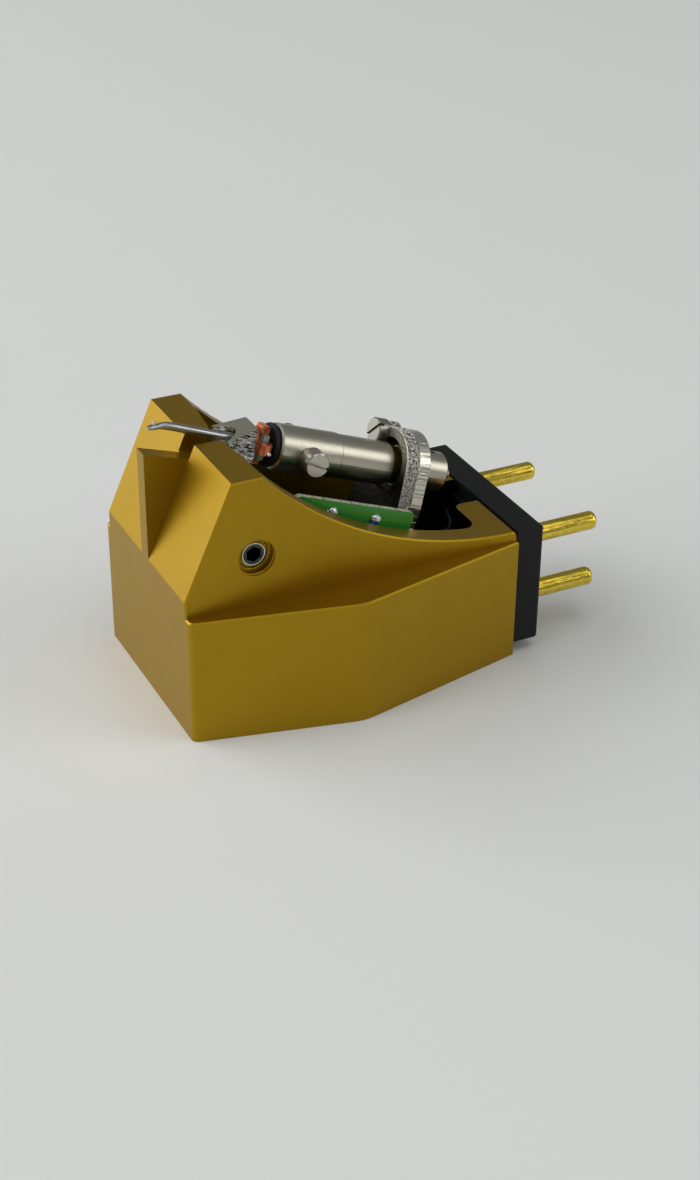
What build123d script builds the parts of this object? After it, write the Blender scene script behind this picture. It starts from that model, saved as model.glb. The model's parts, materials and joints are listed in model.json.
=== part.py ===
# Moving coil turntable cartridge, lying on its mounting face with the stylus up.
# Millimetres. X runs across, Y runs from the front face back to the pins, Z is up.
# The origin is on the mounting face, midway between the two mounting screws.
from build123d import *
from math import cos, pi, radians, sin, tan
import os

os.makedirs("parts", exist_ok=True)

# Housing, outside
SCREW_SETBACK = 10.5
HOUSING_LENGTH = 22.8
FRONT_WIDTH = 14.2
KNEE_WIDTH = 18.9
KNEE_SETBACK = 10.6
REAR_WIDTH = 13.4
LEDGE_HEIGHT = 8.45
UPPER_WIDTH = 13.0
BROW_HEIGHT = 9.55
HORN_RISE = 1.5
HORN_SETBACK = 3.2
HORN_DEPTH = 2.0
RIM_HEIGHT = 9.1
FRONT_CORNER = 0.45
KNEE_CORNER = 3.0
HORN_ROUND = 0.4
EDGE_BREAK = 0.1

# Housing, fin and slot in front of the generator
FIN_THICKNESS = 1.1
CANTILEVER_ROOM = 1.815
FIN_SLOPE = 17.8
SLOT_WIDTH = 1.6
SLOT_FLARE = 0.5

# Housing, inside
SIDE_WALL = 1.5
REAR_WALL = 2.1
CAVITY_SETBACK = 5.55
CAVITY_BOW = 0.65
CAVITY_FLOOR = 4.6
CAVITY_CORNER = 1.0
CHANNEL_WIDTH = 3.3
CHANNEL_CORNER = 0.7
POCKET_DEPTH = 1.4
POCKET_WIDTH = 10.2
POCKET_MARGIN = 1.0

# Mounting screws, M2.5 on the standard half inch
MOUNT_PITCH = 12.7
MOUNT_DRILL = 2.1
MOUNT_DEPTH = 5.0

# Side grub screws, M2 with a hexagon socket
GRUB_DIAMETER = 2.0
GRUB_SETBACK = 4.7
GRUB_DROP = 1.35
GRUB_RECESS = 0.5
GRUB_MOUTH = 2.4
GRUB_SOCKET = 0.9
GRUB_SOCKET_DEPTH = 1.2
GRUB_CHAMFER = 0.25

# Terminal block and pins
BLOCK_THICKNESS = 2.0
BLOCK_BOTTOM = 0.8
BLOCK_CORNER = 0.3
SPIGOT_DEPTH = 0.3
PIN_DIAMETER = 1.26
PIN_REACH = 5.4
PIN_DOME = 0.35
PIN_SPREAD = 8.0
PIN_DROP = 2.0
PIN_RISE = 2.05
PIN_ROOT_WIDTH = 0.9
TAIL_WIDTH = 0.8
TAIL_LENGTH = 0.7

# Generator axis: the front rim of the sleeve is its zero
AXIS_TILT = 20.5
SLEEVE_SETBACK = 8.6
SLEEVE_RIM_HEIGHT = 15.3
SLEEVE_DIAMETER = 2.9
SLEEVE_LENGTH = 4.35
REAR_SLEEVE_DIAMETER = 2.8
REAR_SLEEVE_LENGTH = 3.95
SLEEVE_BORE = 2.0
RIM_LIP = 0.12

# Clamp bracket round the generator
BRACKET_GAP = 0.3
BRACKET_THICKNESS = 1.75
BRACKET_DIAMETER = 4.9
BRACKET_FOOT_WIDTH = 5.7
BRACKET_FLARE_DROP = 1.7
BRACKET_COUNTERBORE = 3.5
BRACKET_RECESS = 0.6
LUG_ACROSS = 1.6
LUG_UP = 1.6
LUG_RADIUS = 0.75
LUG_THICKNESS = 0.9
BASE_THICKNESS = 1.6
BASE_SETBACK = 5.9
EAR_HEIGHT = 1.6
EAR_DROP = 3.2
EAR_LENGTH = 1.2
EAR_ROOT = 1.0
COLLAR_DIAMETER = 2.4

# Rear core, tie wire and its anchor
CORE_DIAMETER = 2.6
CORE_TAIL = 2.25
CORE_PLUG = 3.0
CROSS_HOLE = 0.4
CROSS_HOLE_INSET = 0.9
ANCHOR_DIAMETER = 1.1
ANCHOR_TIP_DIAMETER = 0.7
ANCHOR_LENGTH = 0.7
WIRE_DIAMETER = 0.12
WIRE_BORE = 0.3

# Screws beside the sleeve and on the clamp
HEAD_DIAMETER = 1.64
HEAD_HEIGHT = 1.03
CLAMP_HEAD_HEIGHT = 0.8
SHANK_DIAMETER = 0.9
SHANK_LENGTH = 0.35
SCREW_SETBACK_ON_SLEEVE = 2.17
HEAD_SLOT_WIDTH = 0.2
HEAD_SLOT_DEPTH = 0.35
HEAD_SLOT_TURN = -9.3
CLAMP_SLOT_TURN = 48.0
HEAD_EDGE = 0.08
SCREW_FIT = 0.01

# Moving system, measured forward of the sleeve's rim
DAMPER_DIAMETER = 2.8
DAMPER_THICKNESS = 0.3
DAMPER_GAP = 0.1
DAMPER_BORE = 0.5
FORMER_WIDTH = 1.6
FORMER_THICKNESS = 0.4
COIL_WIDTH = 0.7
COIL_BUILD = 0.5
COIL_LAYER = 0.125
ARMATURE_GAP = 0.1
CANTILEVER_DIAMETER = 0.58
CANTILEVER_TIP_THICKNESS = 0.3
KINK_SETBACK = 1.6
KINK_RISE = 0.19
KINK_RADIUS = 1.2
TIP_SETBACK = 0.55
STYLUS_WIDTH = 0.16
STYLUS_SETBACK = 1.0
STYLUS_HEIGHT = 0.3
STYLUS_POINT = 0.14

# Front pole and magnet
POLE_GAP = 0.45
POLE_DIAMETER = 3.3
POLE_FRONT = 5.2
POLE_BORE = 1.14
POLE_MOUTH = 2.2
POLE_MOUTH_DEPTH = 1.0
POLE_TOP_RISE = 0.18
POLE_TOP_SLOPE = 10.0
POLE_SIDE_OFFSET = 1.3
POLE_SIDE_LEAN = 24.0
POLE_NECK_WIDTH = 2.6
POLE_NECK_DEPTH = 1.0
FOOT_WIDTH = 3.9
FOOT_FRONT = 3.75
FOOT_REAR = 8.0
FOOT_HEIGHT = 2.7
FOOT_DROP = 2.4
FOOT_FIT = 0.05
MAGNET_WIDTH = 3.8
MAGNET_LENGTH = 4.5

# Circuit board, its solder joints and the four leads
BOARD_THICKNESS = 0.4
BOARD_LENGTH = 8.65
BOARD_HEIGHT = 4.05
BOARD_DROP = 1.35
BOARD_START = 0.2
BOARD_WALL_GAP = 0.5
BOARD_CORNER = 0.3
SOLDER_RADIUS = 0.38
SOLDER_HEIGHT = 0.3
LEAD_DIAMETER = 0.3
LEAD_LIFT = 0.02
BEND_SHARE = 0.45

# Worked out from the sizes above
OVERSHOOT = 1.2
FRONT = -SCREW_SETBACK
REAR = FRONT + HOUSING_LENGTH
HORN_HEIGHT = SLEEVE_RIM_HEIGHT + HORN_RISE
CAVITY_WIDTH = UPPER_WIDTH - 2 * SIDE_WALL
CAVITY_FRONT = FRONT + CAVITY_SETBACK
CAVITY_REAR = REAR - REAR_WALL
HORN_FRONT = FRONT + HORN_SETBACK
HORN_BACK = HORN_FRONT + HORN_DEPTH
MAGNET_BASE = CAVITY_FLOOR + BASE_THICKNESS
FOOT_TOP = SLEEVE_RIM_HEIGHT - FOOT_DROP
FOOT_BASE = FOOT_TOP - FOOT_HEIGHT
GRUB_HEIGHT = FOOT_TOP - GRUB_DROP
PIN_UPPER = RIM_HEIGHT - PIN_DROP
PIN_LOWER = BLOCK_BOTTOM + PIN_RISE
POCKET_TOP = RIM_HEIGHT - POCKET_MARGIN
POCKET_BOTTOM = BLOCK_BOTTOM + POCKET_MARGIN
AXIS_COS = cos(radians(AXIS_TILT))
AXIS_SIN = sin(radians(AXIS_TILT))
RIM_Y = FRONT + SLEEVE_SETBACK
SLEEVE_END = SLEEVE_LENGTH + REAR_SLEEVE_LENGTH
BRACKET_START = SLEEVE_END + BRACKET_GAP
BRACKET_END = BRACKET_START + BRACKET_THICKNESS
CORE_END = BRACKET_END + CORE_TAIL
DAMPER_FRONT = -DAMPER_GAP - DAMPER_THICKNESS
COIL_HALF = FORMER_THICKNESS / 2 + 2 * COIL_LAYER
ARMATURE_MIDDLE = DAMPER_FRONT - ARMATURE_GAP - COIL_HALF
POLE_BACK = ARMATURE_MIDDLE - COIL_HALF - POLE_GAP
BOARD_INNER = CAVITY_WIDTH / 2 - BOARD_WALL_GAP - BOARD_THICKNESS
BOARD_OUTER = BOARD_INNER + BOARD_THICKNESS
LEAD_X = BOARD_OUTER + LEAD_DIAMETER / 2 + LEAD_LIFT
POLE_FOOT_FRONT = FRONT + FOOT_FRONT
PIN_PLACES = {
    "pin_right_signal": (PIN_SPREAD / 2, PIN_UPPER),
    "pin_right_ground": (PIN_SPREAD / 2, PIN_LOWER),
    "pin_left_signal": (-PIN_SPREAD / 2, PIN_UPPER),
    "pin_left_ground": (-PIN_SPREAD / 2, PIN_LOWER),
}

BRACKET_FLOOR_UP = (CAVITY_FLOOR - SLEEVE_RIM_HEIGHT + BRACKET_END * AXIS_SIN) / AXIS_COS
BASE_REAR = RIM_Y + BRACKET_END * AXIS_COS + BRACKET_FLOOR_UP * AXIS_SIN
TAIL_X = (PIN_SPREAD - TAIL_WIDTH) / 2
TAIL_Y = REAR - SPIGOT_DEPTH - TAIL_LENGTH / 2

# Routes of the four leads, from the solder joints on the board to the tails of the pins
LEAD_ROUTES = {
    "lead_right_signal": [
        (LEAD_X, 4.2, 8.4),
        (LEAD_X, 6.6, 8.1),
        (0.45, 9.9, 6.0),
        (0.45, TAIL_Y, 6.0),
        (2.2, TAIL_Y, PIN_UPPER),
        (TAIL_X, TAIL_Y, PIN_UPPER),
    ],
    "lead_left_signal": [
        (LEAD_X, 3.1, 11.14),
        (LEAD_X, 1.9, 10.4),
        (LEAD_X, 1.6, 7.6),
        (LEAD_X, 3.4, 6.6),
        (LEAD_X, 6.0, 6.5),
        (-0.45, 9.4, 6.0),
        (-0.45, TAIL_Y, 6.0),
        (-2.2, TAIL_Y, PIN_UPPER),
        (-TAIL_X, TAIL_Y, PIN_UPPER),
    ],
    "lead_right_ground": [
        (LEAD_X, 1.0, 9.3),
        (LEAD_X, 0.7, 7.5),
        (LEAD_X, 2.2, 5.9),
        (LEAD_X, 6.3, 5.8),
        (0.45, 9.9, 5.2),
        (0.45, TAIL_Y, 5.1),
        (1.5, TAIL_Y, 3.2),
        (2.6, TAIL_Y, PIN_LOWER),
        (TAIL_X, TAIL_Y, PIN_LOWER),
    ],
    "lead_left_ground": [
        (LEAD_X, 0.1, 12.35),
        (LEAD_X, -0.6, 11.4),
        (LEAD_X, -0.7, 7.2),
        (LEAD_X, 1.0, 5.3),
        (LEAD_X, 6.0, 5.2),
        (-0.45, 9.4, 5.2),
        (-0.45, TAIL_Y, 5.1),
        (-1.5, TAIL_Y, 3.2),
        (-2.6, TAIL_Y, PIN_LOWER),
        (-TAIL_X, TAIL_Y, PIN_LOWER),
    ],
}


def axis_height(y):
    """Height of the generator axis at a place along Y."""
    return SLEEVE_RIM_HEIGHT - (y - RIM_Y) * tan(radians(AXIS_TILT))


def slot_height(y):
    """Height of the slot's floor, and of the fin's top edge, at a place along Y."""
    return axis_height(FRONT) - CANTILEVER_ROOM - (y - FRONT) * tan(radians(FIN_SLOPE))


def pole_top(y):
    """Height of the front pole's upper facet at a place along Y."""
    front = FRONT + POLE_FRONT
    return axis_height(front) + POLE_TOP_RISE + (y - front) * tan(radians(POLE_TOP_SLOPE))


def on_axis(back, out=0, up=0):
    """Point beside the generator axis, a distance behind the sleeve's front rim."""
    y = RIM_Y + back * AXIS_COS + up * AXIS_SIN
    return (out, y, SLEEVE_RIM_HEIGHT - back * AXIS_SIN + up * AXIS_COS)


def across(back, out=0, up=0):
    """Plane square to the generator axis, facing forward."""
    return Plane(origin=on_axis(back, out, up), x_dir=(1, 0, 0), z_dir=(0, -AXIS_COS, AXIS_SIN))


def beside(back, out):
    """Plane facing out to the right of the generator axis, its X along the axis to the rear."""
    return Plane(origin=on_axis(back, out), x_dir=(0, AXIS_COS, -AXIS_SIN), z_dir=(1, 0, 0))


def bend_radii(points):
    """Radius at each corner of a lead's route, as large as the runs beside it allow."""
    radii = []
    for before, corner, after in zip(points, points[1:], points[2:]):
        run_in = Vector(*corner) - Vector(*before)
        run_out = Vector(*after) - Vector(*corner)
        half_turn = radians(run_in.get_angle(run_out)) / 2
        radii.append(BEND_SHARE * min(run_in.length, run_out.length) / tan(half_turn))
    return radii


def save(shape, name):
    """Label a finished piece and write its STEP file."""
    shape.label = name
    export_step(shape, f"parts/{name}.step")


def cheese_head(plane, height, shank, slot_turn):
    """Slotted cheese head screw whose head sits on the plane and faces along its normal."""
    with BuildPart() as screw:
        with BuildSketch(plane):
            Circle(HEAD_DIAMETER / 2)
        extrude(amount=height)
        rim = screw.edges().filter_by(GeomType.CIRCLE).sort_by(Axis(plane.origin, plane.z_dir))[-1]
        chamfer(rim, HEAD_EDGE)
        with BuildSketch(plane.offset(height)):
            Rectangle(HEAD_DIAMETER * OVERSHOOT, HEAD_SLOT_WIDTH, rotation=slot_turn)
        extrude(amount=-HEAD_SLOT_DEPTH, mode=Mode.SUBTRACT)
        with BuildSketch(plane):
            Circle(SHANK_DIAMETER / 2)
        extrude(amount=-shank)
    return screw.part


# Housing: a six-sided block below, a straight-sided block above with the scooped back
with BuildPart() as housing:
    with BuildSketch() as plan:
        with BuildLine():
            Polyline(
                (-FRONT_WIDTH / 2, FRONT),
                (FRONT_WIDTH / 2, FRONT),
                (KNEE_WIDTH / 2, FRONT + KNEE_SETBACK),
                (REAR_WIDTH / 2, REAR),
                (-REAR_WIDTH / 2, REAR),
                (-KNEE_WIDTH / 2, FRONT + KNEE_SETBACK),
                close=True,
            )
        make_face()
        fillet(plan.vertices().group_by(Axis.Y)[0], FRONT_CORNER)
        knees = plan.vertices().filter_by_position(
            Axis.Y, FRONT + KNEE_SETBACK - 0.01, FRONT + KNEE_SETBACK + 0.01
        )
        fillet(knees, KNEE_CORNER)
    extrude(amount=LEDGE_HEIGHT)
    chamfer(housing.faces().sort_by(Axis.Z)[-1].edges(), EDGE_BREAK)

    with BuildSketch(Plane.YZ.offset(-UPPER_WIDTH / 2)) as profile:
        with BuildLine():
            Polyline(
                (REAR, RIM_HEIGHT),
                (REAR, 0),
                (FRONT, 0),
                (FRONT, BROW_HEIGHT),
                (HORN_FRONT, HORN_HEIGHT),
                (HORN_BACK, HORN_HEIGHT),
            )
            TangentArc((REAR, RIM_HEIGHT), (HORN_BACK, HORN_HEIGHT), tangent=(-1, 0))
        make_face()
        horn_tip = profile.vertices().group_by(Axis.Y)[1]
        fillet(horn_tip, HORN_ROUND)
    extrude(amount=UPPER_WIDTH)
    top_edges = (
        housing.edges()
        .filter_by_position(Axis.X, UPPER_WIDTH / 2 - 0.001, UPPER_WIDTH / 2 + 0.001)
        .filter_by_position(Axis.Z, LEDGE_HEIGHT + 0.5, HORN_HEIGHT + 1)
    )
    top_edges += (
        housing.edges()
        .filter_by_position(Axis.X, -UPPER_WIDTH / 2 - 0.001, -UPPER_WIDTH / 2 + 0.001)
        .filter_by_position(Axis.Z, LEDGE_HEIGHT + 0.5, HORN_HEIGHT + 1)
    )
    chamfer(top_edges, EDGE_BREAK)

    # Fin below the slot, standing on the sloping front
    with BuildSketch(Plane.YZ.offset(-FIN_THICKNESS / 2)):
        with BuildLine():
            Polyline(
                (FRONT, BROW_HEIGHT),
                (FRONT, slot_height(FRONT)),
                (HORN_BACK, slot_height(HORN_BACK)),
                (HORN_BACK, BROW_HEIGHT),
                close=True,
            )
        make_face()
    extrude(amount=FIN_THICKNESS)

    # Slot between the horns for the cantilever
    with BuildSketch(Plane.YZ.offset(-SLOT_WIDTH / 2)):
        with BuildLine():
            Polyline(
                (FRONT - 1, slot_height(FRONT - 1)),
                (CAVITY_FRONT, slot_height(CAVITY_FRONT)),
                (CAVITY_FRONT, HORN_HEIGHT + 1),
                (FRONT - 1, HORN_HEIGHT + 1),
                close=True,
            )
        make_face()
    extrude(amount=SLOT_WIDTH, mode=Mode.SUBTRACT)

    # Cavity for the generator, open upwards, with a wire channel to the rear
    with BuildSketch(Plane.XY.offset(CAVITY_FLOOR)) as opening:
        with BuildLine():
            Polyline(
                (CAVITY_WIDTH / 2, CAVITY_FRONT),
                (CAVITY_WIDTH / 2, CAVITY_REAR),
                (-CAVITY_WIDTH / 2, CAVITY_REAR),
                (-CAVITY_WIDTH / 2, CAVITY_FRONT),
            )
            ThreePointArc(
                (-CAVITY_WIDTH / 2, CAVITY_FRONT),
                (0, CAVITY_FRONT - CAVITY_BOW),
                (CAVITY_WIDTH / 2, CAVITY_FRONT),
            )
        make_face()
        fillet(opening.vertices().group_by(Axis.Y)[-1], CAVITY_CORNER)
        with Locations((0, CAVITY_REAR)):
            Rectangle(CHANNEL_WIDTH, 2 * REAR_WALL + 2)
        channel_mouth = opening.vertices().filter_by_position(
            Axis.Y, CAVITY_REAR - 0.01, CAVITY_REAR + 0.01
        ).filter_by_position(
            Axis.X, -CHANNEL_WIDTH / 2 - 0.01, CHANNEL_WIDTH / 2 + 0.01
        )
        fillet(channel_mouth, CHANNEL_CORNER)
    extrude(amount=HORN_HEIGHT, mode=Mode.SUBTRACT)
    flare = (
        housing.edges()
        .filter_by(Axis.Z)
        .filter_by_position(Axis.X, -SLOT_WIDTH / 2 - 0.01, SLOT_WIDTH / 2 + 0.01)
        .filter_by_position(Axis.Y, HORN_FRONT + 0.5, CAVITY_FRONT + 0.5)
    )
    fillet(flare, SLOT_FLARE)

    # Pocket in the cavity's front wall for the foot of the front pole
    with BuildSketch(Plane.XY.offset(CAVITY_FLOOR)):
        with Locations((0, POLE_FOOT_FRONT - FOOT_FIT)):
            Rectangle(
                FOOT_WIDTH + 2 * FOOT_FIT,
                CAVITY_FRONT - POLE_FOOT_FRONT + FOOT_FIT,
                align=(Align.CENTER, Align.MIN),
            )
    extrude(amount=FOOT_TOP + FOOT_FIT - CAVITY_FLOOR, mode=Mode.SUBTRACT)

    # Pocket behind the terminal block for the tails of the pins
    with BuildSketch(Plane.XZ.offset(-REAR)) as pocket:
        with Locations((0, (POCKET_TOP + POCKET_BOTTOM) / 2)):
            RectangleRounded(POCKET_WIDTH, POCKET_TOP - POCKET_BOTTOM, BLOCK_CORNER)
    extrude(amount=POCKET_DEPTH, mode=Mode.SUBTRACT)

    # Tapped mounting holes from below
    with Locations(Plane.XY.rotated((180, 0, 0))):
        with GridLocations(MOUNT_PITCH, 1, 2, 1):
            Hole(MOUNT_DRILL / 2, MOUNT_DEPTH)

    # Cross holes for the grub screws that hold the front pole
    for side in (-1, 1):
        outside = Plane(
            origin=(side * UPPER_WIDTH / 2, FRONT + GRUB_SETBACK, GRUB_HEIGHT), z_dir=(side, 0, 0)
        )
        with Locations(outside):
            CounterBoreHole(
                GRUB_DIAMETER / 2,
                GRUB_MOUTH / 2,
                GRUB_RECESS,
                (UPPER_WIDTH - FOOT_WIDTH) / 2,
            )

save(housing.part, "housing")

# Terminal block with a spigot that seats in the pocket
with BuildPart() as block:
    with BuildSketch(Plane.XZ.offset(-REAR)):
        with Locations((0, (RIM_HEIGHT + BLOCK_BOTTOM) / 2)):
            Rectangle(UPPER_WIDTH, RIM_HEIGHT - BLOCK_BOTTOM)
    extrude(amount=-BLOCK_THICKNESS)
    fillet(block.faces().sort_by(Axis.Y)[-1].edges(), BLOCK_CORNER)
    with BuildSketch(Plane.XZ.offset(-REAR)):
        with Locations((0, (POCKET_TOP + POCKET_BOTTOM) / 2)):
            RectangleRounded(
                POCKET_WIDTH - 2 * FOOT_FIT, POCKET_TOP - POCKET_BOTTOM - 2 * FOOT_FIT, BLOCK_CORNER
            )
    extrude(amount=SPIGOT_DEPTH)
    with BuildSketch(Plane.XZ.offset(-REAR + SPIGOT_DEPTH)):
        with Locations(*PIN_PLACES.values()):
            Rectangle(PIN_ROOT_WIDTH, PIN_ROOT_WIDTH)
    extrude(amount=-SPIGOT_DEPTH - BLOCK_THICKNESS, mode=Mode.SUBTRACT)
save(block.part, "terminal_block")

# Four signal pins, each with a square root that can't turn in the block and a tail for its lead
for name, (across_x, height) in PIN_PLACES.items():
    with BuildPart() as pin:
        with BuildSketch(Plane.XZ.offset(-REAR - BLOCK_THICKNESS)):
            with Locations((across_x, height)):
                Circle(PIN_DIAMETER / 2)
        extrude(amount=-PIN_REACH)
        fillet(pin.faces().sort_by(Axis.Y)[-1].edges(), PIN_DOME)
        with BuildSketch(Plane.XZ.offset(-REAR - BLOCK_THICKNESS)):
            with Locations((across_x, height)):
                Rectangle(PIN_ROOT_WIDTH, PIN_ROOT_WIDTH)
        extrude(amount=SPIGOT_DEPTH + BLOCK_THICKNESS)
        with BuildSketch(Plane.XZ.offset(-REAR + SPIGOT_DEPTH)):
            with Locations((across_x, height)):
                Rectangle(TAIL_WIDTH, TAIL_WIDTH)
        extrude(amount=TAIL_LENGTH)
    save(pin.part, name)

# Grub screws, bearing on the foot of the front pole
for name, side in {"grub_screw_right": 1, "grub_screw_left": -1}.items():
    face = Plane(
        origin=(side * (UPPER_WIDTH / 2 - GRUB_RECESS), FRONT + GRUB_SETBACK, GRUB_HEIGHT),
        z_dir=(side, 0, 0),
    )
    with BuildPart() as grub:
        with BuildSketch(face):
            Circle(GRUB_DIAMETER / 2 - SCREW_FIT)
        extrude(amount=-((UPPER_WIDTH - FOOT_WIDTH) / 2 - GRUB_RECESS))
        chamfer(grub.edges().filter_by(GeomType.CIRCLE), GRUB_CHAMFER)
        with BuildSketch(face):
            RegularPolygon(GRUB_SOCKET / 2, 6, major_radius=False)
        extrude(amount=-GRUB_SOCKET_DEPTH, mode=Mode.SUBTRACT)
    save(grub.part, name)

# Front pole: a foot in the pocket, a neck, and a faceted round head bored for the cantilever
with BuildPart() as pole:
    with BuildSketch(Plane.XY.offset(FOOT_BASE)):
        with Locations((0, POLE_FOOT_FRONT)):
            Rectangle(FOOT_WIDTH, FOOT_REAR - FOOT_FRONT, align=(Align.CENTER, Align.MIN))
    extrude(amount=FOOT_HEIGHT)
    with BuildSketch(Plane.XY.offset(FOOT_TOP)):
        with Locations((0, FRONT + POLE_FRONT)):
            Rectangle(POLE_NECK_WIDTH, POLE_NECK_DEPTH, align=(Align.CENTER, Align.MIN))
    extrude(amount=axis_height(FRONT + POLE_FRONT) - POLE_DIAMETER / 3 - FOOT_TOP)
    with BuildSketch(across(POLE_BACK)) as head_section:
        Circle(POLE_DIAMETER / 2)
        for side in (-1, 1):
            lean = side * POLE_SIDE_LEAN
            with Locations(Location((0, 0, 0), (0, 0, lean if side > 0 else 180 + lean))):
                with Locations((POLE_SIDE_OFFSET, 0)):
                    Rectangle(
                        POLE_DIAMETER,
                        2 * POLE_DIAMETER,
                        align=(Align.MIN, Align.CENTER),
                        mode=Mode.SUBTRACT,
                    )
    extrude(amount=POLE_DIAMETER * OVERSHOOT)
    with BuildSketch(Plane.XZ.offset(-(FRONT + POLE_FRONT))):
        with Locations((0, axis_height(FRONT + POLE_FRONT))):
            Rectangle(2 * POLE_DIAMETER, 2 * POLE_DIAMETER)
    extrude(amount=2 * POLE_DIAMETER, mode=Mode.SUBTRACT)
    with BuildSketch(Plane.YZ.offset(-POLE_DIAMETER)):
        with BuildLine():
            Polyline(
                (FRONT + POLE_FRONT - 1, pole_top(FRONT + POLE_FRONT - 1)),
                (RIM_Y, pole_top(RIM_Y)),
                (RIM_Y, HORN_HEIGHT + POLE_DIAMETER),
                (FRONT + POLE_FRONT - 1, HORN_HEIGHT + POLE_DIAMETER),
                close=True,
            )
        make_face()
    extrude(amount=2 * POLE_DIAMETER, mode=Mode.SUBTRACT)
    with BuildSketch(across(POLE_BACK - POLE_DIAMETER * OVERSHOOT)):
        Circle(POLE_BORE / 2)
    extrude(amount=-POLE_DIAMETER * OVERSHOOT, mode=Mode.SUBTRACT)
    with Locations(across((POLE_FRONT + FRONT - RIM_Y) / AXIS_COS + POLE_MOUTH_DEPTH)):
        Cone(
            POLE_BORE / 2,
            POLE_MOUTH - POLE_BORE / 2,
            2 * POLE_MOUTH_DEPTH,
            align=(Align.CENTER, Align.CENTER, Align.MIN),
            mode=Mode.SUBTRACT,
        )
save(pole.part, "front_pole")

# Magnet between the bracket's base and the foot of the pole
with BuildPart() as magnet:
    with BuildSketch(Plane.XY.offset(MAGNET_BASE)):
        with Locations((0, FRONT + BASE_SETBACK)):
            Rectangle(MAGNET_WIDTH, MAGNET_LENGTH, align=(Align.CENTER, Align.MIN))
    extrude(amount=FOOT_BASE - MAGNET_BASE)
    chamfer(magnet.edges().filter_by(Axis.Z), EDGE_BREAK)
save(magnet.part, "magnet")

# Bracket: an arched plate square to the axis with a screw lug, standing on a flat base
with BuildPart() as bracket:
    with BuildSketch(across(BRACKET_END)):
        with BuildLine():
            Polyline(
                (BRACKET_DIAMETER / 2, 0),
                (BRACKET_FOOT_WIDTH / 2, -BRACKET_FLARE_DROP),
                (BRACKET_FOOT_WIDTH / 2, -HORN_HEIGHT),
                (-BRACKET_FOOT_WIDTH / 2, -HORN_HEIGHT),
                (-BRACKET_FOOT_WIDTH / 2, -BRACKET_FLARE_DROP),
                (-BRACKET_DIAMETER / 2, 0),
                close=True,
            )
        make_face()
        Circle(BRACKET_DIAMETER / 2)
    extrude(amount=BRACKET_THICKNESS)
    with BuildSketch(across(BRACKET_START)):
        with Locations((-LUG_ACROSS, LUG_UP)):
            Circle(LUG_RADIUS)
    extrude(amount=-LUG_THICKNESS)
    with BuildSketch(across(BRACKET_START)):
        with Locations((BOARD_INNER, -EAR_DROP)):
            Rectangle(
                BOARD_INNER - BRACKET_FOOT_WIDTH / 2 + EAR_ROOT,
                EAR_HEIGHT,
                align=(Align.MAX, Align.MAX),
            )
    extrude(amount=EAR_LENGTH)
    with BuildSketch(Plane.XY.offset(CAVITY_FLOOR)):
        Rectangle(4 * HOUSING_LENGTH, 4 * HOUSING_LENGTH)
    extrude(amount=-HOUSING_LENGTH, mode=Mode.SUBTRACT)
    with BuildSketch(Plane.XY.offset(CAVITY_FLOOR)):
        with Locations((0, FRONT + BASE_SETBACK)):
            Rectangle(
                BRACKET_FOOT_WIDTH,
                BASE_REAR - FRONT - BASE_SETBACK,
                align=(Align.CENTER, Align.MIN),
            )
    extrude(amount=BASE_THICKNESS)
    with Locations(across(BRACKET_START)):
        CounterBoreHole(
            CORE_DIAMETER / 2 + SCREW_FIT, BRACKET_COUNTERBORE / 2, BRACKET_RECESS, BRACKET_THICKNESS
        )
        with Locations((-LUG_ACROSS, LUG_UP)):
            Hole(SHANK_DIAMETER / 2 + SCREW_FIT, LUG_THICKNESS)
save(bracket.part, "generator_bracket")

# Sleeves of the generator
with BuildPart() as front_sleeve:
    with BuildSketch(across(SLEEVE_LENGTH)):
        Circle(SLEEVE_DIAMETER / 2)
        Circle(SLEEVE_BORE / 2, mode=Mode.SUBTRACT)
    extrude(amount=SLEEVE_LENGTH)
    front_rims = front_sleeve.edges().filter_by(GeomType.CIRCLE).sort_by(Axis.Y)[:2]
    chamfer(front_rims.sort_by(SortBy.RADIUS)[-1], RIM_LIP)
    with Locations(beside(SCREW_SETBACK_ON_SLEEVE, 0)):
        Hole(SHANK_DIAMETER / 2 + SCREW_FIT)
save(front_sleeve.part, "front_sleeve")

with BuildPart() as rear_sleeve:
    with BuildSketch(across(SLEEVE_END)):
        Circle(REAR_SLEEVE_DIAMETER / 2)
        Circle(SLEEVE_BORE / 2, mode=Mode.SUBTRACT)
    extrude(amount=REAR_SLEEVE_LENGTH)
    outer_edges = rear_sleeve.edges().filter_by(GeomType.CIRCLE).sort_by(SortBy.RADIUS)[-2:]
    chamfer(outer_edges, RIM_LIP / 2)
save(rear_sleeve.part, "rear_sleeve")

# Brass collar between the rear sleeve and the bracket's bore
with BuildPart() as collar:
    with BuildSketch(across(BRACKET_START + BRACKET_RECESS)):
        Circle(COLLAR_DIAMETER / 2)
        Circle(SLEEVE_BORE / 2, mode=Mode.SUBTRACT)
    extrude(amount=BRACKET_GAP + BRACKET_RECESS)
save(collar.part, "brass_collar")

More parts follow.
